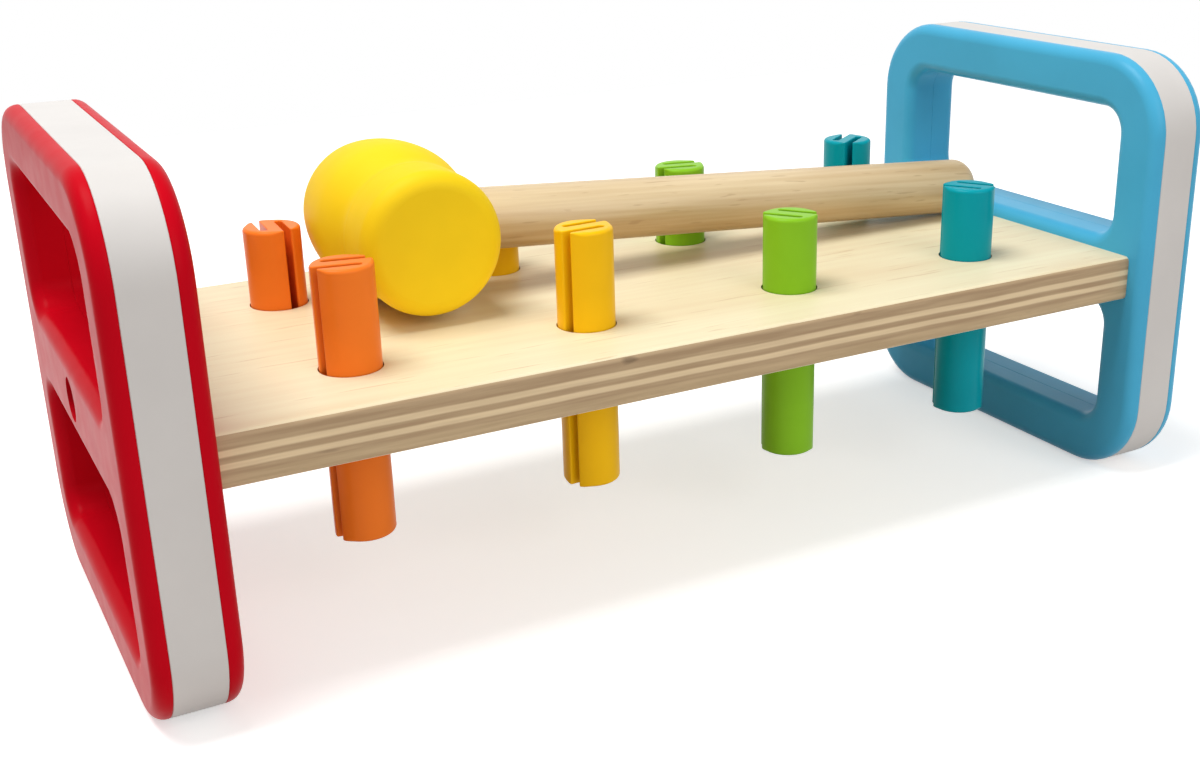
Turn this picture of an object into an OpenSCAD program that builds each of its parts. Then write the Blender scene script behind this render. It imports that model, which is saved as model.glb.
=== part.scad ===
// Peg pounding bench: a plywood board between two square end frames, eight split pegs
// that are driven down through it, and a hammer that lies on it between the two rows.
// The bench stands either way up, so it is turned over once all the pegs are down.
// X runs along the bench, Y from front to back and Z up. The origin is on the floor,
// under the middle of the bench.

/* [Board] */
// Length of the board between the inner faces of the end frames
board_l = 276; // [262:1:320]
// Depth of the board from its front edge to its back edge
board_w = 120; // [104:1:124]
// Thickness of the plywood
board_t = 13.5; // [12:0.5:16]
// Rounding of the board's long edges
board_edge_r = 1.6; // [0.5:0.1:3]
// Distance between neighbouring pegs in a row
peg_pitch = 65; // [62:0.5:72]
// Distance between the front row and the rear row of pegs
row_gap = 63; // [58:0.5:76]
// Width of the eased rim round each peg hole
hole_ease = 0.9; // [0.3:0.1:1.5]

/* [Pegs] */
// Outer diameter of a split peg
peg_d = 15.6; // [14:0.1:17]
// Length of a peg
peg_l = 71.4; // [60:0.1:72]
// Rounding of a peg's end rims
peg_rim_r = 1.1; // [0.4:0.1:1.6]
// Width of the two slots that make a peg springy
slot_w = 2; // [1.2:0.1:2.6]
// Thickness of the web between the two slots
web_t = 3.6; // [2.4:0.1:4.6]
// Plastic left between a slot's closed end and the side of the peg
hook_t = 3.2; // [2:0.1:5]
// Radial clearance between a peg and its hole
peg_gap = 0.3; // [0.1:0.05:0.5]

/* [End frames] */
// Depth of an end frame from front to back
frame_w = 132; // [126:1:150]
// Height of an end frame
frame_h = 132; // [131:1:160]
// Radius of the frame's four outer corners
corner_r = 23.5; // [16:0.5:30]
// Width of the band round the two openings
band_w = 16; // [13:0.5:20]
// Height of the crossbar that carries the board
crossbar_h = 21; // [19:0.5:26]
// Radius of the openings' corners
opening_r = 7.5; // [5:0.5:12]
// Thickness of the coloured shell on each face
shell_t = 4.2; // [4:0.1:6]
// Rounding of the shells' edges, outside and at the openings
shell_rim_r = 3.6; // [2:0.1:3.8]
// Thickness of the shells' walls inside the openings
lining_t = 2; // [1.5:0.1:3]
// Thickness of the white core between the two shells
core_t = 12.6; // [10:0.1:16]

/* [Screws and dowels] */
// Diameter of the recess over each end screw
recess_d = 11.5; // [10.6:0.1:13]
// Depth of that recess below the outer face
recess_depth = 8.5; // [7:0.1:9]
// Diameter of the end screw's head
screw_head_d = 9.6; // [8:0.1:10]
// Height of the end screw's head
screw_head_h = 3; // [2:0.1:4]
// Diameter of the end screw's shank
screw_d = 5; // [4:0.1:6]
// Length of the end screw under its head
screw_l = 45; // [30:1:60]
// Length of the screw's pointed tip
screw_tip_l = 5; // [3:0.5:8]
// Diameter of the wooden locating dowels
dowel_d = 8; // [6:0.5:8]
// Length of a locating dowel
dowel_l = 30; // [24:1:32]
// Rounding of the dowels' ends
dowel_end_r = 0.8; // [0.3:0.1:1.5]
// Wood left between a dowel and the rows of pegs, seen along the bench
dowel_side_gap = 3; // [1:0.5:5]

/* [Hammer] */
// Length of the head between its striking faces
head_l = 58; // [50:1:64]
// Largest diameter of the head, at its middle
head_d = 44; // [42:0.2:46]
// Diameter of the collar at each end of the head
collar_d = 38.8; // [36:0.2:41]
// Length of each collar
collar_l = 16; // [10:0.5:19]
// Depth of the groove between a collar and the barrel
groove_depth = 1.2; // [0.3:0.1:2]
// Rounding of the striking faces' rims
face_r = 4; // [2:0.1:6]
// Diameter of the round handle
handle_d = 17.8; // [14:0.1:19]
// How far the handle goes into the head past its axis
handle_seat = 11; // [5:0.5:14]
// Rounding of the handle's free end
handle_end_r = 4.4; // [2:0.1:6]
// Gap between the handle's free end and the right end frame
handle_end_gap = 3.8; // [3:0.1:20]
// Gap between the handle and the rear row of pegs
handle_side_gap = 1; // [0.5:0.1:5]
// How far the head lies left of the middle between the two left columns of pegs
head_shift = 1.3; // [-2:0.1:4]

/* [Hidden] */
$fn = 64;

// Signs of the two ends of the bench and of the two rows of pegs
LEFT = -1;
RIGHT = 1;
FRONT = -1;
REAR = 1;

RED = "crimson";
BLUE = "deepskyblue";
ORANGE = "darkorange";
YELLOW = "gold";
GREEN = "yellowgreen";
TEAL = "darkcyan";

// Overrun of a cut past the face that it opens
over = 1;
// Clearance round the screws, the dowels and the handle in their own holes
fit_gap = 0.1;
// Clearance between the hammer and the board that it lies on
lay_gap = 0.3;

mid_z = frame_h / 2;
board_top_z = mid_z + board_t / 2;
end_x = board_l / 2;
end_t = shell_t + core_t + shell_t;
shell_rim_z = shell_t - shell_rim_r;

opening_w = frame_w - 2 * band_w;
opening_h = (frame_h - 2 * band_w - crossbar_h) / 2;
opening_z = (opening_h + crossbar_h) / 2;

hole_r = peg_d / 2 + peg_gap;
slot_y = (web_t + slot_w) / 2;
slot_end_x = peg_d / 2 - hook_t;
columns = 4;
// How far a peg travels from flush with the board's top to flush with its underside
peg_travel = peg_l - board_t;

seat_z = end_t - recess_depth;
dowel_y = row_gap / 2 + peg_d / 2 + dowel_side_gap + dowel_d / 2;
drive_w = screw_head_d / 2;
drive_t = screw_head_h / 3;

head_x = -peg_pitch - head_shift;
head_z = board_top_z + lay_gap + head_d / 2;
handle_y = row_gap / 2 - peg_d / 2 - handle_side_gap - handle_d / 2;
handle_drop = (head_d - handle_d) / 2;
handle_run = end_x - handle_end_gap - head_x;
handle_tilt = atan(handle_drop / (handle_run - handle_end_r));
handle_reach = handle_run / cos(handle_tilt);
barrel_half = head_l / 2 - collar_l;
groove_r = collar_d / 2 - groove_depth;
barrel_rise = head_d / 2 - groove_r;
barrel_arc_r = (barrel_half * barrel_half + barrel_rise * barrel_rise) / (2 * barrel_rise);

// A rectangle with round corners, centred
module rounded_rect(w, h, r) {
    square([w - 2 * r, h], center = true);
    square([w, h - 2 * r], center = true);
    for (sx = [-1, 1], sy = [-1, 1])
        translate([sx * (w / 2 - r), sy * (h / 2 - r)]) circle(r = r);
}

// A quarter of a disc, filling the corner between its two straight sides
module quarter_disc(r) {
    intersection() {
        circle(r = r);
        square(r);
    }
}

// The outline, beside the axis, of a round bar of length l with its end rims rounded
module bar_profile(d, l, rim_r) {
    square([d / 2 - rim_r, l]);
    translate([0, rim_r]) square([d / 2, l - 2 * rim_r]);
    for (y = [rim_r, l - rim_r])
        translate([d / 2 - rim_r, y]) circle(r = rim_r);
}

// Board

function peg_x(column) = (column - (columns - 1) / 2) * peg_pitch;

// A peg's hole with its two eased rims, centred on the board's middle plane
module peg_hole() {
    cylinder(h = board_t + 2 * over, r = hole_r, center = true);
    for (flip = [0, 1]) mirror([0, 0, flip])
        translate([0, 0, board_t / 2 - hole_ease])
            cylinder(h = hole_ease + over, r1 = hole_r, r2 = hole_r + hole_ease + over);
}

module bench_board() {
    color("wheat") difference() {
        translate([-end_x, 0, mid_z]) rotate([90, 0, 90])
            linear_extrude(board_l) rounded_rect(board_w, board_t, board_edge_r);
        for (column = [0 : columns - 1], row = [FRONT, REAR])
            translate([peg_x(column), row * row_gap / 2, mid_z]) peg_hole();
        for (side = [LEFT, RIGHT]) at_end(side) {
            dowel_holes(-dowel_l / 2, over);
            shank_hole(seat_z - screw_l, over);
        }
    }
}

// End frames. Each piece is drawn lying flat, with height 0 at the board's end.

// Stands a piece drawn flat up against the board's left or right end
module at_end(side) {
    mirror([side == LEFT ? 1 : 0, 0, 0])
        translate([end_x, 0, mid_z]) rotate([90, 0, 90]) children();
}

// Places a copy of one opening's shape at the lower and at the upper opening
module at_openings() {
    for (s = [-1, 1]) translate([0, s * opening_z]) children();
}

// One opening's outline, grown by margin
module opening_outline(margin) {
    rounded_rect(opening_w + 2 * margin, opening_h + 2 * margin, opening_r + margin);
}

// Half of a shell's section, from its middle to an edge that is rounded at the top
module shell_section(reach) {
    square([reach - shell_rim_r, shell_t]);
    square([reach, shell_rim_z]);
    translate([reach - shell_rim_r, shell_rim_z]) quarter_disc(shell_rim_r);
}

// Half of the section of a cut through a shell that leaves its edge rounded at the top
module cut_section(reach) {
    translate([0, -over]) square([reach, shell_t + 2 * over]);
    difference() {
        translate([0, shell_rim_z]) square([reach + shell_rim_r, shell_rim_r + over]);
        translate([reach + shell_rim_r, shell_rim_z]) circle(r = shell_rim_r);
    }
}

module half_section(reach, is_cut) {
    if (is_cut) cut_section(reach);
    else shell_section(reach);
}

// A round-cornered slab of w by h with rounded edges, or the cut that leaves such edges:
// two crossed bars and a disc in each corner, all of one section
module round_cornered(w, h, r, is_cut) {
    for (turn = [0, 90]) rotate(turn) {
        across = turn == 0 ? w / 2 : h / 2;
        along = (turn == 0 ? h / 2 : w / 2) - r;
        translate([0, along, 0]) rotate([90, 0, 0]) linear_extrude(2 * along)
            for (flip = [0, 1]) mirror([flip, 0]) half_section(across, is_cut);
    }
    for (sx = [-1, 1], sy = [-1, 1]) translate([sx * (w / 2 - r), sy * (h / 2 - r), 0])
        rotate_extrude() half_section(r, is_cut);
}

// A shell with its face up and its back at height 0, and its opening walls below that
module shell() {
    difference() {
        round_cornered(frame_w, frame_h, corner_r, false);
        at_openings() round_cornered(opening_w, opening_h, opening_r, true);
    }
    translate([0, 0, -core_t / 2]) linear_extrude(core_t / 2 + shell_rim_z) at_openings() difference() {
        opening_outline(lining_t);
        opening_outline(0);
    }
}

// Holes for one end's two dowels, from height a to height b
module dowel_holes(a, b) {
    for (s = [-1, 1]) translate([s * dowel_y, 0, a])
        cylinder(h = b - a, d = dowel_d + 2 * fit_gap);
}

// Hole for one end's screw, from height a to height b
module shank_hole(a, b) {
    translate([0, 0, a]) cylinder(h = b - a, d = screw_d + 2 * fit_gap);
}

// The wide recess that lets the screw's head in below the outer face
module screw_recess() {
    translate([0, 0, seat_z]) cylinder(h = recess_depth + over, d = recess_d);
}

module outer_shell(side, tint) {
    color(tint) at_end(side) difference() {
        translate([0, 0, shell_t + core_t]) shell();
        screw_recess();
    }
}

module inner_shell(side, tint) {
    color(tint) at_end(side) difference() {
        translate([0, 0, shell_t]) mirror([0, 0, 1]) shell();
        dowel_holes(-over, shell_t + over);
        shank_hole(-over, shell_t + over);
    }
}

module core(side) {
    color("white") at_end(side) difference() {
        translate([0, 0, shell_t]) linear_extrude(core_t) difference() {
            rounded_rect(frame_w, frame_h, corner_r);
            at_openings() opening_outline(lining_t);
        }
        dowel_holes(shell_t - over, dowel_l / 2);
        shank_hole(shell_t - over, seat_z + over);
        screw_recess();
    }
}

module dowels(side) {
    color("burlywood") at_end(side) for (s = [-1, 1])
        translate([s * dowel_y, 0, -dowel_l / 2])
            rotate_extrude() bar_profile(dowel_d, dowel_l, dowel_end_r);
}

// A pan-headed wood screw with a cross drive
module end_screw(side) {
    color("silver") at_end(side) translate([0, 0, seat_z]) difference() {
        union() {
            cylinder(h = screw_head_h, d = screw_head_d);
            translate([0, 0, screw_tip_l - screw_l]) cylinder(h = screw_l - screw_tip_l, d = screw_d);
            translate([0, 0, -screw_l]) cylinder(h = screw_tip_l, d1 = 0, d2 = screw_d);
        }
        for (turn = [0, 90]) rotate(turn)
            translate([-drive_w / 2, -drive_t / 2, screw_head_h / 2])
                cube([drive_w, drive_t, screw_head_h]);
    }
}

module left_outer_shell() { outer_shell(LEFT, RED); }
module left_core() { core(LEFT); }
module left_inner_shell() { inner_shell(LEFT, RED); }
module left_dowels() { dowels(LEFT); }
module left_end_screw() { end_screw(LEFT); }
module right_outer_shell() { outer_shell(RIGHT, BLUE); }
module right_core() { core(RIGHT); }
module right_inner_shell() { inner_shell(RIGHT, BLUE); }
module right_dowels() { dowels(RIGHT); }
module right_end_screw() { end_screw(RIGHT); }

// Pegs

// A split peg standing on its lower end: a round bar slotted from both sides, so that
// its section is an S whose two hooks give when it is driven through a hole
module split_peg() {
    slot_run = peg_d / 2 + over + slot_end_x - slot_w / 2;
    slot_h = peg_l + 2 * over;
    difference() {
        rotate_extrude() bar_profile(peg_d, peg_l, peg_rim_r);
        for (turn = [0, 180]) rotate(turn)
            translate([slot_end_x - slot_w / 2, -slot_y, -over]) {
                translate([-slot_run, -slot_w / 2, 0]) cube([slot_run, slot_w, slot_h]);
                cylinder(h = slot_h, d = slot_w);
            }
    }
}

// A peg in its hole: up_share is 0 where its top is flush with the board and 1 where
// its lower end is flush with the underside, and turn is how its slots lie
module peg(column, row, up_share, turn, tint) {
    color(tint)
        translate([peg_x(column), row * row_gap / 2, board_top_z + up_share * peg_travel - peg_l])
            rotate(turn) split_peg();
}

module orange_peg_front() { peg(column = 0, row = FRONT, up_share = 0.462, turn = -10, tint = ORANGE); }
module yellow_peg_front() { peg(column = 1, row = FRONT, up_share = 0.464, turn = 4, tint = YELLOW); }
module green_peg_front() { peg(column = 2, row = FRONT, up_share = 0.376, turn = -42, tint = GREEN); }
module teal_peg_front() { peg(column = 3, row = FRONT, up_share = 0.379, turn = -48, tint = TEAL); }
module orange_peg_rear() { peg(column = 0, row = REAR, up_share = 0.384, turn = 87, tint = ORANGE); }
module yellow_peg_rear() { peg(column = 1, row = REAR, up_share = 0.384, turn = 20, tint = YELLOW); }
module green_peg_rear() { peg(column = 2, row = REAR, up_share = 0.421, turn = -12, tint = GREEN); }
module teal_peg_rear() { peg(column = 3, row = REAR, up_share = 0.447, turn = 36, tint = TEAL); }

// Hammer

// Turns Z from the middle of the head along the handle, towards its free end
module along_handle() {
    translate([head_x, handle_y, head_z]) rotate([0, 90 + handle_tilt, 0]) children();
}

// Half of the head's outline beside its axis: barrel, groove, collar and striking face
module head_profile() {
    square([collar_d / 2 - face_r, head_l / 2]);
    square([groove_r, head_l / 2 - face_r]);
    translate([0, barrel_half]) square([collar_d / 2, collar_l - face_r]);
    translate([collar_d / 2 - face_r, head_l / 2 - face_r]) circle(r = face_r);
    intersection() {
        translate([head_d / 2 - barrel_arc_r, 0]) circle(r = barrel_arc_r);
        square([head_d / 2, barrel_half]);
    }
}

module hammer_head() {
    color("yellow") difference() {
        translate([head_x, handle_y, head_z]) rotate([90, 0, 0]) rotate_extrude()
            for (flip = [0, 1]) mirror([0, flip]) head_profile();
        along_handle() translate([0, 0, -handle_seat - fit_gap])
            cylinder(h = handle_seat + head_d, d = handle_d + 2 * fit_gap);
    }
}

module hammer_handle() {
    color("tan") along_handle() rotate_extrude() {
        translate([0, -handle_seat]) square([handle_d / 2, handle_seat + handle_reach - handle_end_r]);
        square([handle_d / 2 - handle_end_r, handle_reach]);
        translate([handle_d / 2 - handle_end_r, handle_reach - handle_end_r])
            quarter_disc(handle_end_r);
    }
}

bench_board();
left_outer_shell();
left_core();
left_inner_shell();
left_dowels();
left_end_screw();
right_outer_shell();
right_core();
right_inner_shell();
right_dowels();
right_end_screw();
orange_peg_front();
yellow_peg_front();
green_peg_front();
teal_peg_front();
orange_peg_rear();
yellow_peg_rear();
green_peg_rear();
teal_peg_rear();
hammer_head();
hammer_handle();
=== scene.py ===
"""Peg pounding bench, dressed.

A plywood board stands between two sandwiched end frames. Eight split pegs sit in its holes
and a turned hammer lies on it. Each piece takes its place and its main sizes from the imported
frame and is built here with the rounded edges and the finish of the real one.

Lengths are in metres. X runs along the bench, Y to the back and Z up.
"""

import logging
import math
from dataclasses import dataclass
from enum import Enum
from typing import ClassVar

import bmesh
import bpy
from mathutils import Matrix, Vector


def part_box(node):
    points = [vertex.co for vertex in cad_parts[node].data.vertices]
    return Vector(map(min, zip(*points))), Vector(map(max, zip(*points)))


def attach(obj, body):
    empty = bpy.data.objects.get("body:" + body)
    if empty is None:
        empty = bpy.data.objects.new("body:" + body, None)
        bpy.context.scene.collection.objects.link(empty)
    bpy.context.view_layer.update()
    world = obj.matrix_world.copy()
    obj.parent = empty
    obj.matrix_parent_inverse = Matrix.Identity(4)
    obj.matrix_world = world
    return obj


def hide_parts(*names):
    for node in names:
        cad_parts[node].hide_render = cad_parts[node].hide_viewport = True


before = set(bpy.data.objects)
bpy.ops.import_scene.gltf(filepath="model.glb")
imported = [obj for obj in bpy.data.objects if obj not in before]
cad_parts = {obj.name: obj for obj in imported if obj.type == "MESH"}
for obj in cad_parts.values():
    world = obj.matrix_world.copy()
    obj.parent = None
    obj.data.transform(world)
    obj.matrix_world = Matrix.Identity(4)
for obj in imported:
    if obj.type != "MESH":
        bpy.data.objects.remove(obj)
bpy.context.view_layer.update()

MM = 0.001
SHARP_ANGLE = math.radians(35)
log = logging.getLogger("pounding_bench")

Point = tuple[float, float]
Loop = list[Point]
Colour = tuple[float, float, float, float]
Socket = bpy.types.NodeSocket


class Side(Enum):
    """The two ends of the bench, each with the sign of its X."""

    LEFT = -1
    RIGHT = 1

    @property
    def label(self) -> str:
        """The word that starts the names of this end's nodes."""
        return self.name.lower()


class Row(Enum):
    """The two rows of pegs."""

    FRONT = "front"
    REAR = "rear"


class Dye(Enum):
    """The pegs' colours, from the red end to the blue one."""

    ORANGE = "orange"
    YELLOW = "yellow"
    GREEN = "green"
    TEAL = "teal"


def paint(red: int, green: int, blue: int) -> Colour:
    """A colour as a screen shows it, turned into the linear values that a shader takes.

    Args:
        red: Red from 0 to 255.
        green: Green from 0 to 255.
        blue: Blue from 0 to 255.

    Returns:
        Linear red, green, blue and an alpha of 1.
    """
    def linear(value: int) -> float:
        """One channel through the screen's curve."""
        share = value / 255
        return share / 12.92 if share <= 0.04045 else ((share + 0.055) / 1.055) ** 2.4

    return (linear(red), linear(green), linear(blue), 1.0)


# Outlines


def arc(centre: Point, radius: float, start: float, end: float, steps: int = 12) -> Loop:
    """Points along an arc in chords, both ends included; its angles are in degrees."""
    turns = [math.radians(start + (end - start) * k / steps) for k in range(steps + 1)]
    return [(centre[0] + radius * math.cos(t), centre[1] + radius * math.sin(t)) for t in turns]


def rounded_rectangle(width: float, height: float, radius: float, centre_y: float = 0.0) -> Loop:
    """A rectangle with round corners, run anticlockwise.

    Args:
        width: Its size across.
        height: Its size up.
        radius: Radius of its corners.
        centre_y: Height of its middle.

    Returns:
        The loop's points.
    """
    loop: Loop = []
    for quarter, (sx, sy) in enumerate(((1, 1), (-1, 1), (-1, -1), (1, -1))):
        corner = (sx * (width / 2 - radius), centre_y + sy * (height / 2 - radius))
        loop += arc(corner, radius, 90 * quarter, 90 * quarter + 90)
    return loop


def eased(line: Loop, passes: int) -> Loop:
    """Softens the corners of an open line whose ends stay where they are.

    Args:
        line: The line's points, about evenly spaced.
        passes: How often each point moves halfway to the middle of its neighbours.

    Returns:
        As many points, on a softer line.
    """
    for _ in range(passes):
        inner = [
            ((a[0] + 2 * b[0] + c[0]) / 4, (a[1] + 2 * b[1] + c[1]) / 4)
            for a, b, c in zip(line, line[1:], line[2:])
        ]
        line = [line[0], *inner, line[-1]]
    return line


# Geometry nodes and meshes


def placed(name: str, data: bpy.types.ID) -> bpy.types.Object:
    """Makes an object.

    Args:
        name: Its name.
        data: The mesh, curve, camera or lamp that it shows.

    Returns:
        The object, linked to the scene.
    """
    made = bpy.data.objects.new(name, data)
    bpy.context.scene.collection.objects.link(made)
    return made


class Graph:
    """A node tree with short calls for adding and joining its nodes.

    An input or output is given by its name, or by its number where a node repeats a name.
    """

    def __init__(self, tree: bpy.types.NodeTree) -> None:
        """Keeps the tree that nodes are added to."""
        self.tree = tree

    def add(self, kind: str, links: dict | None = None, **settings: object) -> bpy.types.Node:
        """Adds a node.

        Args:
            kind: The node's type.
            links: Input name or number to a value, or to the output that feeds it.
            settings: Properties of the node itself.

        Returns:
            The new node.
        """
        node = self.tree.nodes.new(kind)
        for name, value in settings.items():
            setattr(node, name, value)
        self.feed(node, links or {})
        return node

    def out(self, kind: str, links: dict | None = None, **settings: object) -> Socket:
        """Adds a node in the same way and gives its first output."""
        return self.add(kind, links, **settings).outputs[0]

    def feed(self, node: bpy.types.Node, links: dict) -> None:
        """Sets a node's inputs.

        Args:
            node: The node.
            links: Input name or number to a value, or to the output that feeds it.
        """
        for name, value in links.items():
            if isinstance(value, Socket):
                self.tree.links.new(value, node.inputs[name])
            else:
                node.inputs[name].default_value = value

    def math(self, operation: str, a: object, b: object = 0.0) -> Socket:
        """The result of one Math node on one or two values or outputs."""
        return self.out("ShaderNodeMath", {0: a, 1: b}, operation=operation)

    def lerp(self, share: object, low: object, high: object) -> Socket:
        """A number between two: the low one at a share of 0 and the high one at 1."""
        return self.out("ShaderNodeMix", {0: share, 2: low, 3: high})


class SlabTree:
    """Geometry nodes that raise flat loops into a slab with rounded rims and round bores.

    Each wall is a section swept along one loop. Outer loops run anticlockwise and holes
    clockwise, so a loop's right-hand side always faces away from the material. A point's
    radius is the share of the rim's rounding that it takes. Openings may carry a lining: a
    tube that runs on below the slab, between the opening's wall and a wider loop.
    """

    SIZES = (
        "height", "top_rim", "bottom_rim", "opening_rim", "lining_depth",
        "bore_radius", "bore_rim", "bore_pitch_x", "bore_pitch_y",
    )
    COUNTS = ("bore_columns", "bore_rows")
    SHAPES = ("openings", "linings")
    RIM_STEPS = 8
    BORE_STEPS = 64
    WELD = 0.001 * MM
    LEVEL = 0.01 * MM
    EPSILON = 12  # The Compare node's tolerance isn't found by name while it is hidden.

    def __init__(self) -> None:
        """Builds the tree once; each slab then sets its own inputs."""
        self.tree = bpy.data.node_groups.new("rounded_slab", "GeometryNodeTree")
        face = self.tree.interface
        face.new_socket("outline", in_out="INPUT", socket_type="NodeSocketGeometry")
        for names, kind in ((self.SHAPES, "Object"), (self.SIZES, "Float"), (self.COUNTS, "Int"),
                            (("finish",), "Material")):
            for name in names:
                face.new_socket(name, in_out="INPUT", socket_type=f"NodeSocket{kind}")
        face.new_socket("slab", in_out="OUTPUT", socket_type="NodeSocketGeometry")
        self.graph = Graph(self.tree)
        self.given = self.graph.add("NodeGroupInput").outputs
        self.section = self._section()
        self._build()

    def _capture(self, geometry: Socket, **fields: Socket) -> list[Socket]:
        """Keeps fields on a geometry's points.

        Args:
            geometry: The geometry.
            fields: The vectors or values to keep, by name.

        Returns:
            The geometry, then each kept field.
        """
        node = self.graph.add("GeometryNodeCaptureAttribute")
        for name, field in fields.items():
            kind = "FLOAT" if field.type == "VALUE" else "VECTOR"
            node.capture_items.new(kind, name)
        self.graph.feed(node, {**fields, "Geometry": geometry})
        return [node.outputs["Geometry"], *(node.outputs[name] for name in fields)]

    def _position(self) -> Socket:
        """The position field."""
        return self.graph.out("GeometryNodeInputPosition")

    def _joined(self, parts: list[Socket]) -> Socket:
        """Joins geometries.

        Args:
            parts: The geometries.

        Returns:
            All of them as one.
        """
        node = self.graph.add("GeometryNodeJoinGeometry")
        for part in parts:
            self.tree.links.new(part, node.inputs[0])
        return node.outputs[0]

    def _section(self) -> list[Socket]:
        """Adds the section that every wall shares: top rim, side and bottom rim.

        X and Y are in shares of the rim's radius, outwards and up. Z is 1 for points that
        hang from the wall's upper end and 0 for points that stand on its lower end.

        Returns:
            The section's curves and their kept positions.
        """
        rims = []
        for level, start, lift in ((1.0, math.pi / 2, -1.0), (0.0, 0.0, 1.0)):
            rim = self.graph.add("GeometryNodeCurveArc", {
                "Resolution": self.RIM_STEPS + 1, "Radius": 1.0,
                "Start Angle": start, "Sweep Angle": -math.pi / 2,
            })
            rims.append(self.graph.out("GeometryNodeTransform", {
                "Geometry": rim.outputs["Curve"], "Translation": (-1.0, lift, level),
            }))
        side = self.graph.out("GeometryNodeCurvePrimitiveLine", {
            "Start": (0.0, -1.0, 1.0), "End": (0.0, 1.0, 0.0),
        })
        return self._capture(self._joined([rims[0], side, rims[1]]), section=self._position())

    def _wall(self, loops: Socket, ends: tuple[object, object], rims: tuple[object, object]) -> Socket:
        """Sweeps the section along loops.

        Args:
            loops: The curves.
            ends: Heights of the wall's upper and lower end.
            rims: Rounding at its upper and lower end.

        Returns:
            The wall's mesh.
        """
        graph = self.graph
        tangent = graph.out("GeometryNodeInputTangent")
        away = graph.out("ShaderNodeVectorMath", {0: tangent, 1: (0, 0, 1)}, operation="CROSS_PRODUCT")
        radius = graph.out("GeometryNodeInputRadius")
        path, place, away, share = self._capture(loops, place=self._position(), away=away, share=radius)
        profile, section = self.section
        skin = graph.out("GeometryNodeCurveToMesh", {"Curve": path, "Profile Curve": profile})
        part = graph.add("ShaderNodeSeparateXYZ", {0: section}).outputs
        rim = graph.math("MULTIPLY", share, graph.lerp(part["Z"], rims[1], rims[0]))
        height = graph.math("ADD", graph.lerp(part["Z"], ends[1], ends[0]),
                            graph.math("MULTIPLY", part["Y"], rim))
        level = graph.out("ShaderNodeCombineXYZ", {"Z": height})
        base = graph.out("ShaderNodeVectorMath", {0: place, 1: level}, operation="ADD")
        outward = graph.out("ShaderNodeVectorMath", {
            0: away, "Scale": graph.math("MULTIPLY", part["X"], rim),
        }, operation="SCALE")
        place = graph.out("ShaderNodeVectorMath", {0: base, 1: outward}, operation="ADD")
        return graph.out("GeometryNodeSetPosition", {"Geometry": skin, "Position": place})

    def _bores(self) -> Socket:
        """Adds circles on a regular grid, turned clockwise.

        Returns:
            The circles' curves.
        """
        graph, given = self.graph, self.given

        def span(axis: str, count: str) -> Socket:
            """The distance from the first to the last bore along an axis."""
            return graph.math("MULTIPLY", given[f"bore_pitch_{axis}"],
                              graph.math("SUBTRACT", given[count], 1.0))

        grid = graph.add("GeometryNodeMeshGrid", {
            "Size X": span("x", "bore_columns"), "Size Y": span("y", "bore_rows"),
            "Vertices X": given["bore_columns"], "Vertices Y": given["bore_rows"],
        })
        ring = graph.out("GeometryNodeCurvePrimitiveCircle", {
            "Resolution": self.BORE_STEPS, "Radius": given["bore_radius"],
        })
        clockwise = graph.out("GeometryNodeReverseCurve", {"Curve": ring})
        spread = graph.out("GeometryNodeInstanceOnPoints", {
            "Points": grid.outputs["Mesh"], "Instance": clockwise,
        })
        return graph.out("GeometryNodeRealizeInstances", {"Geometry": spread})

    def _cap(self, walls: Socket, operation: str, limit: object, height: object) -> Socket:
        """Fills the walls' open ends at one level.

        Args:
            walls: The walls' mesh.
            operation: How an end's height is compared with the limit.
            limit: The height it is compared with.
            height: The cap's height.

        Returns:
            The cap, facing up when the comparison is upwards and down otherwise.
        """
        graph = self.graph
        faces = graph.out("GeometryNodeInputMeshEdgeNeighbors")
        is_open = graph.out("FunctionNodeCompare", {2: faces, 3: 1}, data_type="INT", operation="EQUAL")
        z = graph.add("ShaderNodeSeparateXYZ", {0: self._position()}).outputs["Z"]
        is_here = graph.out("FunctionNodeCompare", {0: z, 1: limit, self.EPSILON: self.LEVEL},
                            data_type="FLOAT", operation=operation)
        both = graph.out("FunctionNodeBooleanMath", {0: is_open, 1: is_here})
        rim = graph.out("GeometryNodeMeshToCurve", {"Mesh": walls, "Selection": both})
        cap = graph.out("GeometryNodeFillCurve", {"Curve": rim})
        if operation != "GREATER_THAN":
            cap = graph.out("GeometryNodeFlipFaces", {"Mesh": cap})
        lift = graph.out("ShaderNodeCombineXYZ", {"Z": height})
        return graph.out("GeometryNodeTransform", {"Geometry": cap, "Translation": lift})

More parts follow.
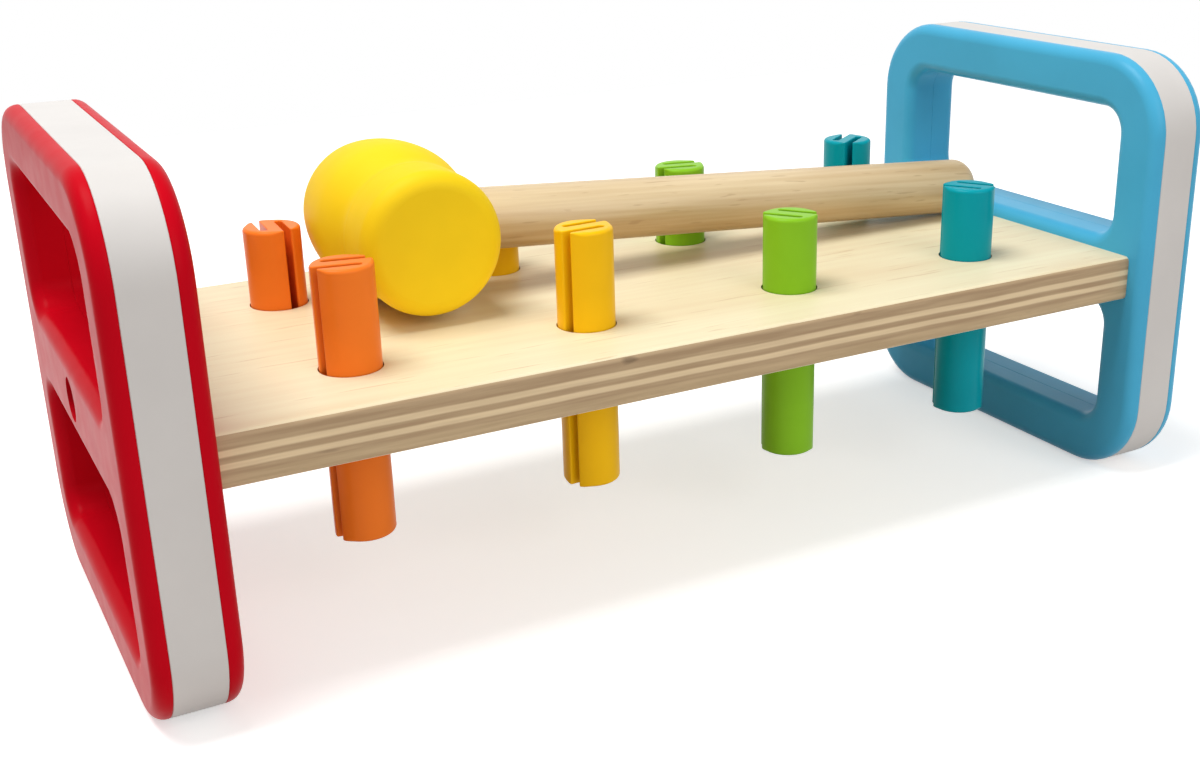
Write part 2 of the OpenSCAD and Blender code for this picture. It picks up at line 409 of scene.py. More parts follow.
    def _build(self) -> None:
        """Lays out the walls, the caps and the output."""
        graph, given = self.graph, self.given
        height = given["height"]
        deep = graph.math("MULTIPLY", given["lining_depth"], -1.0)
        openings, linings = (
            graph.add("GeometryNodeObjectInfo", {"Object": given[name]}).outputs["Geometry"]
            for name in self.SHAPES
        )
        walls = self._joined([
            self._wall(given["outline"], (height, 0.0), (given["top_rim"], given["bottom_rim"])),
            self._wall(openings, (height, deep), (given["top_rim"], given["opening_rim"])),
            self._wall(linings, (0.0, deep), (0.0, given["opening_rim"])),
            self._wall(self._bores(), (height, 0.0), (given["bore_rim"], given["bore_rim"])),
        ])
        welded = graph.out("GeometryNodeMergeByDistance", {"Geometry": walls, "Distance": self.WELD})
        middle = graph.math("MULTIPLY", height, 0.5)
        slab = self._joined([
            welded,
            self._cap(welded, "GREATER_THAN", middle, height),
            self._cap(welded, "EQUAL", 0.0, 0.0),
            self._cap(welded, "LESS_THAN", -self.LEVEL, deep),
        ])
        closed = graph.out("GeometryNodeMergeByDistance", {"Geometry": slab, "Distance": self.WELD})
        real = graph.out("GeometryNodeRealizeInstances", {"Geometry": closed})
        dressed = graph.out("GeometryNodeSetMaterial", {"Geometry": real, "Material": given["finish"]})
        graph.add("NodeGroupOutput", {"slab": dressed})

    def _curve(self, name: str, loops: list[Loop], shares: list[float] | None = None) -> bpy.types.Object:
        """Makes a curve object of closed loops.

        Args:
            name: The object's name.
            loops: The loops' points.
            shares: Each point's share of the rim, for the first loop.

        Returns:
            The object, linked to the scene.
        """
        curve = bpy.data.curves.new(name, "CURVE")
        curve.dimensions = "3D"
        for loop in loops:
            spline = curve.splines.new("POLY")
            spline.points.add(len(loop) - 1)
            for number, (target, (x, y)) in enumerate(zip(spline.points, loop)):
                target.co = (x, y, 0.0, 1.0)
                target.radius = shares[number] if shares else 1.0
            spline.use_cyclic_u = True
        return placed(name, curve)

    def mesh(self, outline: Loop, finish: bpy.types.Material, openings: list[Loop] | None = None,
             linings: list[Loop] | None = None, shares: list[float] | None = None,
             **sizes: float) -> bpy.types.Mesh:
        """Raises loops into a slab whose underside lies at height 0.

        Args:
            outline: The outer loop, anticlockwise like all the others.
            finish: The slab's material.
            openings: Loops of its openings.
            linings: Loops round the openings' linings.
            shares: Each outline point's share of the rim.
            sizes: The tree's other inputs by name.

        Returns:
            A plain mesh.
        """
        holder = self._curve("outline", [outline], shares)
        holes = self._curve("openings", [loop[::-1] for loop in openings or []])
        rings = self._curve("linings", linings or [])
        modifier = holder.modifiers.new("slab", "NODES")
        modifier.node_group = self.tree
        values = {**dict.fromkeys(self.COUNTS, 0), **sizes}
        values |= {"finish": finish, "openings": holes, "linings": rings}
        for socket in self.tree.interface.items_tree:
            if socket.name in values:
                modifier[socket.identifier] = values[socket.name]
        depsgraph = bpy.context.evaluated_depsgraph_get()
        mesh = bpy.data.meshes.new_from_object(holder.evaluated_get(depsgraph))
        mesh.materials.clear()
        mesh.materials.append(finish)
        mesh.polygons.foreach_set("material_index", [0] * len(mesh.polygons))
        for used in (holder, holes, rings):
            curve = used.data
            bpy.data.objects.remove(used)
            bpy.data.curves.remove(curve)
        return mesh


def revolved(profile: Loop, finish: bpy.types.Material, steps: int = 96) -> bpy.types.Mesh:
    """Turns a profile about Z into a closed mesh.

    Args:
        profile: Points (radius, height), the first and the last on the axis.
        finish: The mesh's material.
        steps: How many faces go round.

    Returns:
        A plain mesh.
    """
    shape = bmesh.new()
    rings = []
    for radius, height in profile:
        count = steps if radius > 0 else 1
        rings.append([
            shape.verts.new(Matrix.Rotation(2 * math.pi * k / steps, 3, "Z") @ Vector((radius, 0, height)))
            for k in range(count)
        ])
    for lower, upper in zip(rings, rings[1:]):
        for k in range(steps):
            corners = [lower[k % len(lower)], lower[(k + 1) % len(lower)],
                       upper[(k + 1) % len(upper)], upper[k % len(upper)]]
            shape.faces.new(list(dict.fromkeys(corners)))
    bmesh.ops.recalc_face_normals(shape, faces=shape.faces)
    mesh = bpy.data.meshes.new("revolved")
    shape.to_mesh(mesh)
    shape.free()
    mesh.materials.append(finish)
    return mesh


def smoothed(name: str, mesh: bpy.types.Mesh) -> bpy.types.Object:
    """Shades a mesh smooth, its normals led by the larger faces beside each edge.

    Args:
        name: The object's name.
        mesh: The mesh, which the object takes over.

    Returns:
        The object, linked to the scene.
    """
    mesh.shade_smooth()
    mesh.set_sharp_from_angle(angle=SHARP_ANGLE)
    rough = placed(name, mesh)
    weighted = rough.modifiers.new("normals", "WEIGHTED_NORMAL")
    weighted.keep_sharp = True
    depsgraph = bpy.context.evaluated_depsgraph_get()
    final = bpy.data.meshes.new_from_object(
        rough.evaluated_get(depsgraph), preserve_all_data_layers=True, depsgraph=depsgraph)
    rough.modifiers.clear()
    rough.data = final
    bpy.data.meshes.remove(mesh)
    final.name = name
    return rough


def add_piece(name: str, mesh: bpy.types.Mesh, place: Matrix, body: str, node: str) -> None:
    """Puts a mesh where it belongs, as a piece on its body in place of a CAD node.

    Args:
        name: The piece's name.
        mesh: Its mesh, with its materials.
        place: The mesh's move into the frame; it may mirror.
        body: The body it rides on.
        node: The CAD node it stands for.
    """
    mesh.transform(place)
    if place.determinant() < 0:
        mesh.flip_normals()
    piece = smoothed(name, mesh)
    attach(piece, body)
    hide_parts(node)
    log.info("%s: %d faces, on %s", piece.name, len(piece.data.polygons), body)


# Finishes


def grey(level: float) -> Colour:
    """A linear grey, 0 for black and 1 for white."""
    return (level, level, level, 1.0)


def shaded(colour: Colour, share: float) -> Colour:
    """A colour brought down to a share of its brightness."""
    return tuple(channel * share for channel in colour[:3]) + (1.0,)


def ramp(graph: Graph, value: Socket, stops: list[tuple[float, Colour]]) -> Socket:
    """A colour ramp.

    Args:
        graph: The material's graph.
        value: The output that drives it.
        stops: Places from 0 to 1 and their colours.

    Returns:
        The colour.
    """
    node = graph.add("ShaderNodeValToRGB", {"Fac": value})
    while len(node.color_ramp.elements) < len(stops):
        node.color_ramp.elements.new(1.0)
    for element, (place, colour) in zip(node.color_ramp.elements, stops):
        element.position = place
        element.color = colour
    return node.outputs["Color"]


def blend(graph: Graph, share: object, below: object, above: object) -> Socket:
    """Mixes two colours; the share says how much of the upper one shows."""
    return graph.add("ShaderNodeMix", {0: share, 6: below, 7: above}, data_type="RGBA").outputs[2]


@dataclass(frozen=True)
class Pattern:
    """Noise on object coordinates, with the two stops between which it changes a finish.

    Attributes:
        scale: Cells per metre.
        stretch: Scale of each axis; a small one draws the pattern out along it.
        detail: Octaves of finer noise.
        low: The noise at which the change begins.
        high: The noise at which it is complete.
    """

    scale: float
    stretch: tuple[float, float, float] = (1, 1, 1)
    detail: float = 3.0
    low: float = 0.0
    high: float = 1.0

    def noise(self, graph: Graph, turn: float = 0.0) -> Socket:
        """Adds the noise.

        Args:
            graph: The material's graph.
            turn: How far the pattern is turned about Y first, in radians.

        Returns:
            Its value, about 0.5.
        """
        place = graph.add("ShaderNodeTexCoord").outputs["Object"]
        if turn:
            place = graph.out("ShaderNodeMapping", {"Vector": place, "Rotation": (0, turn, 0)})
        drawn = graph.out("ShaderNodeMapping", {"Vector": place, "Scale": self.stretch})
        return graph.add("ShaderNodeTexNoise", {
            "Vector": drawn, "Scale": self.scale, "Detail": self.detail,
        }).outputs["Fac"]

    def tint(self, graph: Graph, noise: Socket, below: Colour, above: Colour) -> Socket:
        """Turns one colour into another as the pattern's noise rises between its stops."""
        return ramp(graph, noise, [(self.low, below), (self.high, above)])

    def level(self, graph: Graph, first: float, second: float) -> Socket:
        """Turns one number into another as the noise rises.

        Args:
            graph: The material's graph.
            first: Number at the low stop.
            second: Number at the high stop.

        Returns:
            The number.
        """
        return graph.out("ShaderNodeMapRange", {
            "Value": self.noise(graph), "From Min": self.low, "From Max": self.high,
            "To Min": first, "To Max": second,
        })


@dataclass(frozen=True)
class Relief:
    """A bump: its full depth in metres, and the Bump node's strength."""

    depth: float
    strength: float

    def normal(self, graph: Graph, height: Socket) -> Socket:
        """The shader's normal over a height that goes from 0 to 1."""
        sizes = {"Distance": self.depth, "Strength": self.strength}
        return graph.out("ShaderNodeBump", {"Height": height, **sizes})


class Finish:
    """A surface finish that makes its material once."""

    name: str

    def inputs(self, graph: Graph) -> dict[str, object]:
        """The shader's inputs: plain values, or the outputs of patterns added to the graph."""
        raise NotImplementedError

    def material(self) -> bpy.types.Material:
        """Makes the finish's material at the first call.

        Returns:
            The material.
        """
        title = f"{self.name}_finish"
        made = bpy.data.materials.get(title)
        if made:
            return made
        made = bpy.data.materials.new(title)
        made.use_nodes = True
        graph = Graph(made.node_tree)
        graph.feed(made.node_tree.nodes["Principled BSDF"], self.inputs(graph))
        return made


@dataclass(frozen=True)
class Moulded(Finish):
    """Moulded or lacquered colour with a cloudy tone, uneven gloss and a faint waviness."""

    name: str
    colour: Colour
    roughness: float = 0.32
    uneven: float = 0.02
    gloss: float = 0.10
    tone: float = 0.07

    CLOUD: ClassVar[Pattern] = Pattern(38.0, detail=4.0, low=0.38, high=0.62)
    SHEEN: ClassVar[Pattern] = Pattern(140.0, low=0.35, high=0.65)
    RIPPLE: ClassVar[Pattern] = Pattern(520.0, detail=2.0)
    RELIEF: ClassVar[Relief] = Relief(0.03 * MM, 0.12)

    def inputs(self, graph: Graph) -> dict[str, object]:
        """A cloudy colour, uneven gloss and a fine waviness.

        Args:
            graph: The material's graph.

        Returns:
            The shader's inputs by name.
        """
        smooth, rough = self.roughness - self.uneven, self.roughness + self.uneven
        darker = shaded(self.colour, 1 - self.tone)
        return {
            "Base Color": self.CLOUD.tint(graph, self.CLOUD.noise(graph), darker, self.colour),
            "Roughness": self.SHEEN.level(graph, smooth, rough),
            "Specular IOR Level": self.gloss,
            "Normal": self.RELIEF.normal(graph, self.RIPPLE.noise(graph)),
        }


@dataclass(frozen=True)
class Wood(Finish):
    """Wood with a soft figure, fine lines along its grain and small darker marks.

    Attributes:
        tilt: How far the grain is turned about Y, in radians.
        line_share: How much the lines show.
        mark_share: How much the marks show.
    """

    name: str
    pale: Colour
    warm: Colour
    mark: Colour
    tilt: float = 0.0
    roughness: float = 0.45
    gloss: float = 0.3
    line_share: float = 0.24
    mark_share: float = 0.5

    FIGURE: ClassVar[Pattern]
    LINES: ClassVar[Pattern]
    MARKS: ClassVar[Pattern]
    RELIEF: ClassVar[Relief] = Relief(0.05 * MM, 0.3)

    def ground(self, graph: Graph) -> Socket:
        """The wood's broad colour, under its lines and marks."""
        return self.FIGURE.tint(graph, self.FIGURE.noise(graph, self.tilt), self.warm, self.pale)

    def inputs(self, graph: Graph) -> dict[str, object]:
        """The ground with its lines and marks, and a bump along the lines.

        Args:
            graph: The material's graph.

        Returns:
            The shader's inputs by name.
        """
        lines, marks = (pattern.noise(graph, self.tilt) for pattern in (self.LINES, self.MARKS))
        fine = self.LINES.tint(graph, lines, self.warm, self.pale)
        wood = blend(graph, self.line_share, self.ground(graph), fine)
        spots = self.MARKS.tint(graph, marks, grey(self.mark_share), grey(0))
        return {
            "Base Color": blend(graph, spots, wood, self.mark),
            "Roughness": self.roughness,
            "Specular IOR Level": self.gloss,
            "Normal": self.RELIEF.normal(graph, lines),
        }


@dataclass(frozen=True)
class Veneer(Wood):
    """The plywood's face: pale birch with soft figure, fine streaks and short pores."""

    FIGURE: ClassVar[Pattern] = Pattern(26.0, (0.22, 1, 1), low=0.40, high=0.58)
    LINES: ClassVar[Pattern] = Pattern(330.0, (0.03, 1, 1), low=0.42, high=0.58)
    MARKS: ClassVar[Pattern] = Pattern(900.0, (0.06, 1, 1), detail=1.0, low=0.26, high=0.33)


@dataclass(frozen=True)
class Beech(Wood):
    """Clear-lacquered beech, with the short ray flecks that mark it."""

    roughness: float = 0.36
    gloss: float = 0.55
    line_share: float = 0.3
    mark_share: float = 0.35

    FIGURE: ClassVar[Pattern] = Pattern(60.0, (0.10, 1, 1), detail=2.0, low=0.36, high=0.60)
    LINES: ClassVar[Pattern] = Pattern(620.0, (0.03, 1, 1), low=0.36, high=0.64)
    MARKS: ClassVar[Pattern] = Pattern(1100.0, (0.12, 1, 1), detail=0.0, low=0.19, high=0.27)


@dataclass(frozen=True, kw_only=True)
class PlyEdge(Wood):
    """The plywood's edge: pale long-grain plies between darker end-grain ones.

    Attributes:
        middle: Height of the board's middle.
        thickness: The board's thickness.
        medium: Colour of the lowest ply.
        ply_ends: Where each ply ends, as shares of the thickness from the top.
        ply_seam: Half the share over which one ply turns into the next.
        waver: How far the plies wander up and down.
    """

    middle: float
    thickness: float
    medium: Colour
    roughness: float = 0.55
    gloss: float = 0.25
    line_share: float = 0.22
    mark_share: float = 0.6
    ply_ends: tuple[float, ...] = (0.29, 0.41, 0.53, 0.64, 0.75)
    ply_seam: float = 0.015
    waver: float = 0.9 * MM

    WANDER: ClassVar[Pattern] = Pattern(22.0)
    LINES: ClassVar[Pattern] = Pattern(700.0, (0.05, 0.05, 1), low=0.38, high=0.62)
    MARKS: ClassVar[Pattern] = Pattern(260.0, (0.25, 0.25, 1), detail=1.0, low=0.21, high=0.28)
    RELIEF: ClassVar[Relief] = Relief(0.08 * MM, 0.4)

    def ground(self, graph: Graph) -> Socket:
        """Colours the plies by their depth below the board's top.

        Args:
            graph: The material's graph.

        Returns:
            The colour.
        """
        place = graph.add("ShaderNodeTexCoord").outputs["Object"]
        z = graph.add("ShaderNodeSeparateXYZ", {0: place}).outputs["Z"]
        waver = graph.math("MULTIPLY", graph.math("SUBTRACT", self.WANDER.noise(graph), 0.5), self.waver)
        depth = graph.math("SUBTRACT", self.middle + self.thickness / 2, graph.math("ADD", z, waver))
        plies = [self.warm, self.pale, self.warm, self.pale, self.warm, self.medium]
        stops = [(0.0, plies[0])]
        for end, above, below in zip(self.ply_ends, plies, plies[1:]):
            stops += [(end - self.ply_seam, above), (end + self.ply_seam, below)]
        return ramp(graph, graph.math("DIVIDE", depth, self.thickness), stops)


@dataclass(frozen=True)
class Zinc(Finish):
    """Zinc-plated steel, its gloss mottled by handling."""

    name: str
    colour: Colour
    polished: float = 0.22
    dull: float = 0.48

    MOTTLE: ClassVar[Pattern] = Pattern(600.0)
    GRIT: ClassVar[Pattern] = Pattern(1800.0)
    RELIEF: ClassVar[Relief] = Relief(0.01 * MM, 0.3)

    def inputs(self, graph: Graph) -> dict[str, object]:
        """A metal with a mottled gloss and a fine bump.

        Args:
            graph: The material's graph.

        Returns:
            The shader's inputs by name.
        """
        return {
            "Base Color": self.colour,
            "Metallic": 1.0,
            "Roughness": self.MOTTLE.level(graph, self.polished, self.dull),
            "Normal": self.RELIEF.normal(graph, self.GRIT.noise(graph)),
        }


WHITE_CORE = Moulded("white_core", paint(219, 215, 211), roughness=0.40, tone=0.04)
END_COLOURS = {
    Side.LEFT: Moulded("red_lacquer", paint(203, 8, 28), gloss=0.025, tone=0.05),
    Side.RIGHT: Moulded("blue_lacquer", paint(77, 179, 219), gloss=0.13, tone=0.05),
}
PEG_COLOURS = {
    Dye.ORANGE: Moulded("orange_plastic", paint(255, 130, 40)),
    Dye.YELLOW: Moulded("yellow_plastic", paint(255, 198, 16)),
    Dye.GREEN: Moulded("green_plastic", paint(140, 200, 38)),
    Dye.TEAL: Moulded("teal_plastic", paint(0, 157, 171)),
}
HAMMER_YELLOW = Moulded("hammer_yellow", paint(254, 216, 24), roughness=0.55, gloss=0.13, tone=0.05)
DOWEL_BEECH = Beech("beech_dowel", paint(214, 178, 130), paint(196, 156, 108), paint(150, 110, 70))
SCREW_ZINC = Zinc("screw_steel", paint(190, 192, 196))


# Sub-assemblies


@dataclass(frozen=True)
class Span:
    """A node's extent in the frame."""

    low: Vector
    high: Vector

    @classmethod
    def of(cls, node: str) -> "Span":
        """The extent of one CAD node at rest."""
        low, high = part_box(node)
        return cls(Vector(low), Vector(high))

    @property
    def size(self) -> Vector:
        """Its size along X, Y and Z."""
        return self.high - self.low

    @property
    def middle(self) -> Vector:
        """Its middle."""
        return (self.low + self.high) / 2


@dataclass
class EndFrame:
    """One end: a white core between two coloured shells that also line its openings."""

    side: Side
    slabs: SlabTree
    corner_radius: float = 23.5 * MM
    band: float = 16 * MM
    crossbar: float = 21 * MM
    opening_radius: float = 7.5 * MM
    rim: float = 3.6 * MM
    lining: float = 2 * MM
    shell_thickness: float = 4.2 * MM
    recess_radius: float = 5.75 * MM
    recess_rim: float = 0.4 * MM
    core_rim: float = 0.3 * MM
    seam: float = 0.15 * MM

    def __post_init__(self) -> None:
        """Reads the frame's extents."""
        self.core_span = Span.of(f"{self.side.label}_core")
        self.finish = END_COLOURS[self.side]

    def _openings(self, margin: float) -> list[Loop]:
        """The two openings' loops.

        Args:
            margin: How far each is grown beyond the opening itself.

        Returns:
            The lower and the upper opening.
        """
        size = self.core_span.size
        width = size.y - 2 * self.band
        height = (size.z - 2 * self.band - self.crossbar) / 2
        lift = (height + self.crossbar) / 2
        return [
            rounded_rectangle(width + 2 * margin, height + 2 * margin,
                              self.opening_radius + margin, centre_y=sign * lift)
            for sign in (-1, 1)
        ]

    def _upright(self, base_x: float, facing: int) -> Matrix:
        """Stands a slab up: its underside goes to base_x and its face looks to facing's side of X."""
        turn = Matrix(((0, 0, facing, 0), (facing, 0, 0, 0), (0, 1, 0, 0), (0, 0, 0, 1)))
        return Matrix.Translation((base_x, 0, self.core_span.middle.z)) @ turn

    def _outline(self) -> Loop:
        """The frame's outer loop."""
        size = self.core_span.size
        return rounded_rectangle(size.y, size.z, self.corner_radius)

    def build_core(self) -> None:
        """Builds the white core with the gap that the shells' linings fill."""
        mesh = self.slabs.mesh(
            self._outline(), WHITE_CORE.material(), openings=self._openings(self.lining),
            height=self.core_span.size.x, top_rim=self.core_rim, bottom_rim=self.core_rim,
            opening_rim=self.core_rim,
            bore_radius=self.recess_radius, bore_rim=self.recess_rim, bore_columns=1, bore_rows=1,
        )
        add_piece(f"{self.side.label}_white_core", mesh, self._upright(self.core_span.low.x, 1),
                  "bench", f"{self.side.label}_core")

    def build_shell(self, is_outer: bool) -> None:
        """Builds one coloured shell with the linings that reach the core's middle.

        Args:
            is_outer: True for the shell on the bench's end face, with the screw's recess.
        """
        facing = self.side.value if is_outer else -self.side.value
        base_x = self.core_span.high.x if facing > 0 else self.core_span.low.x
        mesh = self.slabs.mesh(
            self._outline(), self.finish.material(), openings=self._openings(0.0),
            linings=self._openings(self.lining), lining_depth=self.core_span.size.x / 2,
            height=self.shell_thickness, top_rim=self.rim, bottom_rim=self.core_rim,
            opening_rim=self.seam,
            bore_radius=self.recess_radius, bore_rim=self.recess_rim,
            bore_columns=int(is_outer), bore_rows=int(is_outer),
        )
        layer = f"{self.side.label}_{'outer' if is_outer else 'inner'}"
        add_piece(f"{layer}_face", mesh, self._upright(base_x, facing),
                  "bench", f"{layer}_shell")

    def dress_fixings(self) -> None:
        """Gives the hidden dowels and the recessed screw their finishes."""
        for node, finish in ((f"{self.side.label}_dowels", DOWEL_BEECH),
                             (f"{self.side.label}_end_screw", SCREW_ZINC)):
            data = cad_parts[node].data
            data.materials.clear()
            data.materials.append(finish.material())
            log.info("%s: finished in %s", node, finish.name)

    def build(self) -> None:
        """Builds the whole end."""
        self.build_core()
        for is_outer in (True, False):
            self.build_shell(is_outer)
        self.dress_fixings()


@dataclass
class Board:
    """The plywood board with its eight eased holes."""

    slabs: SlabTree
    corner_radius: float = 0.4 * MM
    edge_rim: float = 1.6 * MM
    hole_radius: float = 8.1 * MM
    hole_rim: float = 0.9 * MM
    pitch: float = 65 * MM
    row_gap: float = 63 * MM
    columns: int = 4
    rows: int = 2
    edge_slope: float = 0.75
    speck_shade: float = 0.35

    def build(self) -> None:
        """Builds the board; its rounded ends sink into the end frames, as square ones seat."""
        span = Span.of("bench_board")
        veneer = Veneer("birch_plywood", pale=paint(238, 227, 191), warm=paint(229, 210, 172),
                        mark=paint(204, 174, 130)).material()
        end_grain = paint(175, 147, 113)
        edge = PlyEdge("birch_plywood_edge", pale=paint(235, 210, 169), warm=end_grain,
                       mark=shaded(end_grain, self.speck_shade), medium=paint(190, 164, 127),
                       middle=span.middle.z, thickness=span.size.z).material()
        outline = rounded_rectangle(span.size.x + 2 * self.edge_rim, span.size.y, self.corner_radius)
        mesh = self.slabs.mesh(
            outline, veneer, height=span.size.z, top_rim=self.edge_rim, bottom_rim=self.edge_rim,
            bore_radius=self.hole_radius, bore_rim=self.hole_rim,
            bore_pitch_x=self.pitch, bore_pitch_y=self.row_gap,
            bore_columns=self.columns, bore_rows=self.rows,
        )
        mesh.materials.append(edge)
        for face in mesh.polygons:
            face.material_index = int(abs(face.normal.z) < self.edge_slope)
        place = Matrix.Translation((0, 0, span.low.z))
        add_piece("plywood_board", mesh, place, "bench", "bench_board")


@dataclass
class SplitPeg:
    """A springy peg: a round bar slotted from both sides into an S.

    The rim is full along the round sides and small along the slots; taper is the angle in
    degrees over which one turns into the other.
    """

    colour: Dye
    row: Row
    turn: float
    slabs: SlabTree
    slot_width: float = 2.0 * MM
    web: float = 3.6 * MM
    hook: float = 3.2 * MM
    rim: float = 1.1 * MM
    slot_rim: float = 0.35 * MM
    mouth_ease: float = 0.5 * MM
    taper: float = 24.0
    round_steps: int = 40
    mouth_steps: int = 6

    def _section(self, radius: float) -> tuple[Loop, list[float]]:
        """The S section, run anticlockwise.

        Args:
            radius: The peg's outer radius.

        Returns:
            The loop's points and each one's share of the rim, small along the slots.
        """
        middle = (self.web + self.slot_width) / 2
        near, far = (middle - self.slot_width / 2, middle + self.slot_width / 2)
        ease = self.mouth_ease
        mouths = []
        for y in (near - ease, far + ease):
            x = math.sqrt((radius - ease) ** 2 - y ** 2)
            mouths.append(((x, y), math.degrees(math.atan2(y, x))))
        (web_centre, web_turn), (hook_centre, hook_turn) = mouths
        steps = self.round_steps
        half = arc((0, 0), radius, hook_turn - 180, web_turn, steps)
        slot_share = self.slot_rim / self.rim
        shares = []
        for k in range(steps + 1):
            turn = min(k, steps - k) / steps * (web_turn - hook_turn + 180)
            t = min(turn / self.taper, 1.0)
            shares.append(slot_share + (1 - slot_share) * t * t * (3 - 2 * t))
        half += arc(web_centre, ease, web_turn, 90, self.mouth_steps)[1:]
        half += arc((self.hook + self.slot_width / 2 - radius, middle), self.slot_width / 2, 270, 90)
        half += arc(hook_centre, ease, -90, hook_turn, self.mouth_steps)[:-1]
        shares += [slot_share] * (len(half) - len(shares))
        return half + [(-x, -y) for x, y in half], shares * 2

    def build(self) -> None:
        """Builds the peg where the frame has it."""
        node = f"{self.colour.value}_peg_{self.row.value}"
        span = Span.of(node)
        finish = PEG_COLOURS[self.colour]
        outline, shares = self._section(max(span.size.x, span.size.y) / 2)
        mesh = self.slabs.mesh(outline, finish.material(), shares=shares,
                               height=span.size.z, top_rim=self.rim, bottom_rim=self.rim)
        middle = span.middle
        hole = Matrix.Translation((middle.x, middle.y, span.low.z))
        place = hole @ Matrix.Rotation(math.radians(self.turn), 4, "Z")
        title = f"split_peg_{self.colour.value}_{self.row.value}"
        add_piece(title, mesh, place, node, node)


# How far each peg is turned in its hole, in degrees.
PEG_TURNS = {
    Row.FRONT: {Dye.ORANGE: -10, Dye.YELLOW: 4, Dye.GREEN: -53, Dye.TEAL: -57},
    Row.REAR: {Dye.ORANGE: 87, Dye.YELLOW: 20, Dye.GREEN: -12, Dye.TEAL: 36},
}


@dataclass
class Hammer:
    """The hammer: a turned barrel head on a round beech handle."""

    collar_radius: float = 19.6 * MM
    collar_length: float = 20 * MM
    groove_depth: float = 0.7 * MM
    groove_half: float = 4.5 * MM
    face_round: float = 4.8 * MM
    far_radius: float = 19.5 * MM
    far_round: float = 6 * MM
    far_turn: float = 16.0
    belly_share: float = 0.6
    waist_points: int = 14
    waist_ease: int = 9
    handle_radius: float = 8.9 * MM
    handle_end_round: float = 5.5 * MM
    handle_seat: float = 11 * MM
    handle_end_gap: float = 3.8 * MM
    barrel_steps: int = 40
    groove_steps: int = 6
    end_steps: int = 10
    head_faces: int = 128

    def __post_init__(self) -> None:
        """Reads the hammer's place and works out the handle's tilt."""
        head = Span.of("hammer_head")
        self.length = head.size.y
        self.radius = head.size.z / 2
        self.centre = head.middle
        run = Span.of("right_inner_shell").low.x - self.handle_end_gap - self.centre.x
        self.tilt = math.atan((self.radius - self.handle_radius) / (run - self.handle_end_round))
        self.reach = run / math.cos(self.tilt)

    def _profile(self) -> Loop:
        """Draws the head's outline from its far face to its near one.

        Returns:
            Points (radius, height).
        """
        half = self.length / 2
        far = arc((self.far_radius - self.far_round, self.far_round - half), self.far_round,
                  -90, -self.far_turn)
        groove = (self.collar_radius - self.groove_depth, half - self.collar_length)
        start = far[-1]
        belly = start[1] + (groove[1] - start[1]) * self.belly_share
        barrel = []
        for k in range(1, self.barrel_steps + 1):
            height = start[1] + (groove[1] - start[1]) * k / self.barrel_steps
            low, end = start if height < belly else groove
            fall = (height - belly) / (end - belly)
            barrel.append((self.radius - (self.radius - low) * fall ** 2, height))
        collar = []
        for k in range(1, self.groove_steps + 1):
            share = k / self.groove_steps
            rise = self.groove_depth * (0.5 - 0.5 * math.cos(math.pi * share))
            collar.append((groove[0] + rise, groove[1] + self.groove_half * share))
        near = arc((self.collar_radius - self.face_round, half - self.face_round), self.face_round,
                   0, 90)
        waist = eased(barrel[-self.waist_points:] + collar, self.waist_ease)
        return [(0.0, -half), *far, *barrel[:-self.waist_points], *waist, *near, (0.0, half)]

    def build_head(self) -> None:
        """Builds the head, a closed turning whose socket the handle fills."""
        mesh = revolved(self._profile(), HAMMER_YELLOW.material(), self.head_faces)
        place = Matrix.Translation(self.centre) @ Matrix.Rotation(math.pi / 2, 4, "X")
        add_piece("hammer_barrel_head", mesh, place, "hammer", "hammer_head")

    def build_handle(self) -> None:
        """Builds the handle, sunk into the head and rounded at its free end."""
        beech = Beech("beech_handle", pale=paint(226, 203, 162), warm=paint(190, 156, 108),
                      mark=paint(160, 122, 80), tilt=-self.tilt)
        centre = (self.handle_radius - self.handle_end_round, self.reach - self.handle_end_round)
        profile = [(0.0, -self.handle_seat), (self.handle_radius, -self.handle_seat)]
        profile += reversed(arc(centre, self.handle_end_round, 90, 0, self.end_steps))
        mesh = revolved(profile + [(0.0, self.reach)], beech.material())
        place = Matrix.Translation(self.centre) @ Matrix.Rotation(math.pi / 2 + self.tilt, 4, "Y")
        add_piece("hammer_round_handle", mesh, place, "hammer", "hammer_handle")

    def build(self) -> None:
        """Builds both pieces."""
        self.build_head()
        self.build_handle()


# Camera and studio


@dataclass
class PhotoCamera:
    """The camera that stands where the photograph was taken, its angles in radians."""

    image_width: float = 1200.0
    focal_px: float = 1503.8
    axis_px: float = 690.0
    sensor_mm: float = 36.0
    place: Vector = Vector((-200.1, -377.2, 196.6)) * MM
    azimuth: float = 0.523
    down: float = 0.357
    roll: float = -0.010
    near_clip: float = 10 * MM

    def build(self) -> None:
        """Makes the camera and sets it as the scene's."""
        data = bpy.data.cameras.new("photo_camera")
        data.sensor_width = self.sensor_mm
        data.lens = self.focal_px / self.image_width * self.sensor_mm
        data.shift_x = (self.image_width / 2 - self.axis_px) / self.image_width
        data.clip_start = self.near_clip
        ahead = Vector((math.sin(self.azimuth) * math.cos(self.down),
                        math.cos(self.azimuth) * math.cos(self.down), -math.sin(self.down)))
        level = Vector((math.cos(self.azimuth), -math.sin(self.azimuth), 0))
        above = level.cross(ahead)
        right = level * math.cos(self.roll) + above * math.sin(self.roll)
        up = above * math.cos(self.roll) - level * math.sin(self.roll)
        turn = Matrix((right, up, -ahead)).transposed().to_4x4()
        camera = placed("photo_camera", data)
        camera.matrix_world = Matrix.Translation(self.place) @ turn
        bpy.context.scene.camera = camera
        log.info("camera: %.1f mm lens", data.lens)


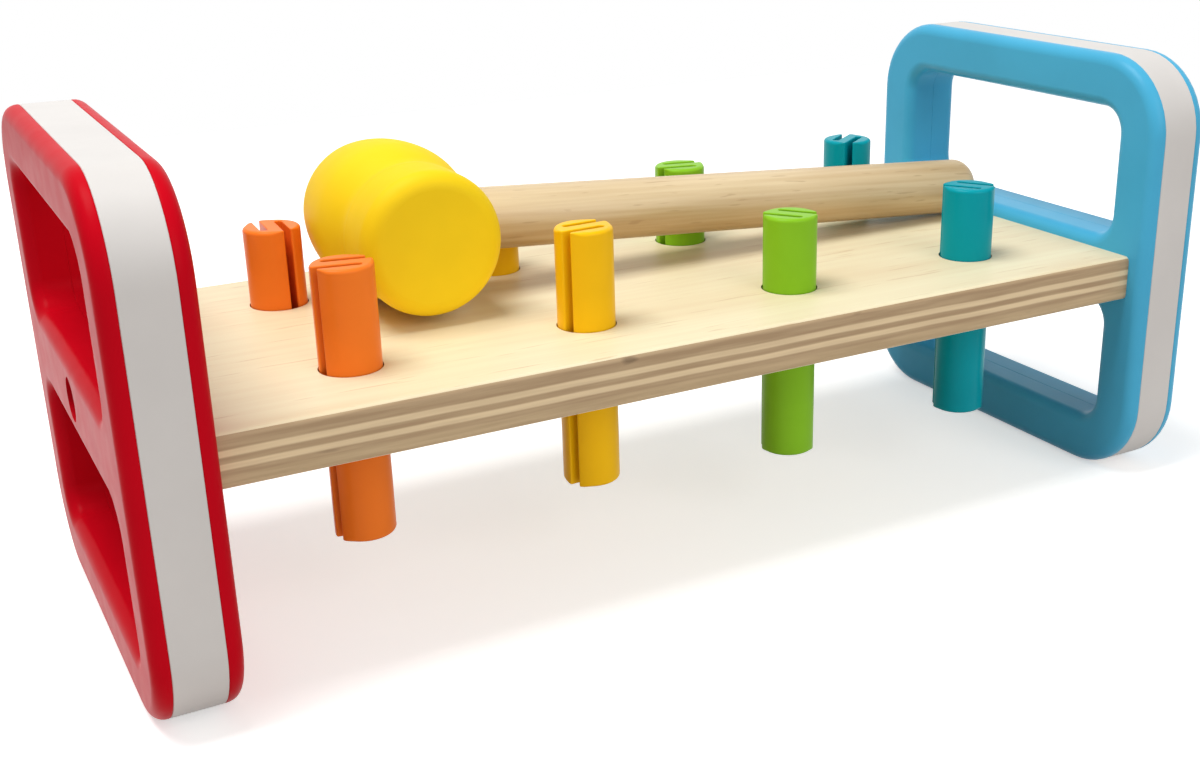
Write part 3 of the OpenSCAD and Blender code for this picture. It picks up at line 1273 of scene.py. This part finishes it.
def seen_rays(graph: Graph) -> Socket:
    """Picks the rays that show a surface to the eye, straight or in gloss and glass.

    Args:
        graph: The graph of a material or of the world.

    Returns:
        1 for such a ray and 0 for any other.
    """
    rays = graph.add("ShaderNodeLightPath").outputs
    seen = graph.math("MAXIMUM", rays["Is Camera Ray"], rays["Is Transmission Ray"])
    return graph.math("MAXIMUM", seen, rays["Is Glossy Ray"])


@dataclass(frozen=True)
class Lamp:
    """A soft square lamp: its place, its side in metres and its power in watts."""

    name: str
    place: tuple[float, float, float]
    size: float
    power: float

    def hang(self, aim: Vector) -> None:
        """Hangs the lamp.

        Args:
            aim: The point that it is turned to.
        """
        data = bpy.data.lights.new(self.name, "AREA")
        data.size = self.size
        data.energy = self.power
        lamp = placed(self.name, data)
        lamp.location = self.place
        lamp.rotation_euler = (aim - Vector(self.place)).to_track_quat("-Z", "Y").to_euler()


@dataclass
class Studio:
    """A pale floor, a white surround and large soft lamps."""

    world_strength: float = 0.36
    floor_half: float = 0.7
    floor_bounce: Colour = (0.60, 0.57, 0.55, 1.0)
    floor_seen: Colour = (0.96, 0.95, 0.94, 1.0)
    floor_lift: float = 0.48
    floor_roughness: float = 0.9
    floor_gloss: float = 0.1
    lamps: tuple[Lamp, ...] = (
        Lamp("key", (-0.35, 0.05, 1.20), size=0.6, power=11.5),
        Lamp("fill", (0.3, -1.3, 0.7), size=1.0, power=6.5),
    )
    aim_height: float = 70 * MM

    def _world(self) -> None:
        """A surround that lights softly and shows white where it is seen."""
        world = bpy.data.worlds.new("studio")
        world.use_nodes = True
        bpy.context.scene.world = world
        graph = Graph(world.node_tree)
        strength = graph.lerp(seen_rays(graph), self.world_strength, 1.0)
        graph.feed(world.node_tree.nodes["Background"], {"Color": grey(1), "Strength": strength})

    def _floor(self) -> None:
        """A plain pale floor that throws back less light than it shows."""
        r = self.floor_half
        mesh = bpy.data.meshes.new("floor")
        mesh.from_pydata([(-r, -r, 0), (r, -r, 0), (r, r, 0), (-r, r, 0)], [], [(0, 1, 2, 3)])
        floor = placed("floor", mesh)
        material = bpy.data.materials.new("floor")
        material.use_nodes = True
        graph = Graph(material.node_tree)
        seen = seen_rays(graph)
        graph.feed(material.node_tree.nodes["Principled BSDF"], {
            "Base Color": blend(graph, seen, self.floor_bounce, self.floor_seen),
            "Roughness": self.floor_roughness,
            "Specular IOR Level": self.floor_gloss,
            "Emission Color": grey(1),
            "Emission Strength": graph.math("MULTIPLY", seen, self.floor_lift),
        })
        mesh.materials.append(material)

    def build(self) -> None:
        """Builds the studio."""
        bpy.context.scene.view_settings.view_transform = "Standard"
        self._world()
        self._floor()
        for lamp in self.lamps:
            lamp.hang(Vector((0, 0, self.aim_height)))
            log.info("studio: %s lamp", lamp.name)


def main() -> None:
    """Builds the bench, its pegs and hammer, and the studio round them."""
    logging.basicConfig(level=logging.INFO, format="%(message)s")
    slabs = SlabTree()
    PhotoCamera().build()
    Studio().build()
    Board(slabs).build()
    for side in Side:
        EndFrame(side, slabs).build()
    for row, turns in PEG_TURNS.items():
        for colour, turn in turns.items():
            SplitPeg(colour, row, turn, slabs).build()
    Hammer().build()


if __name__ == "__main__":
    main()
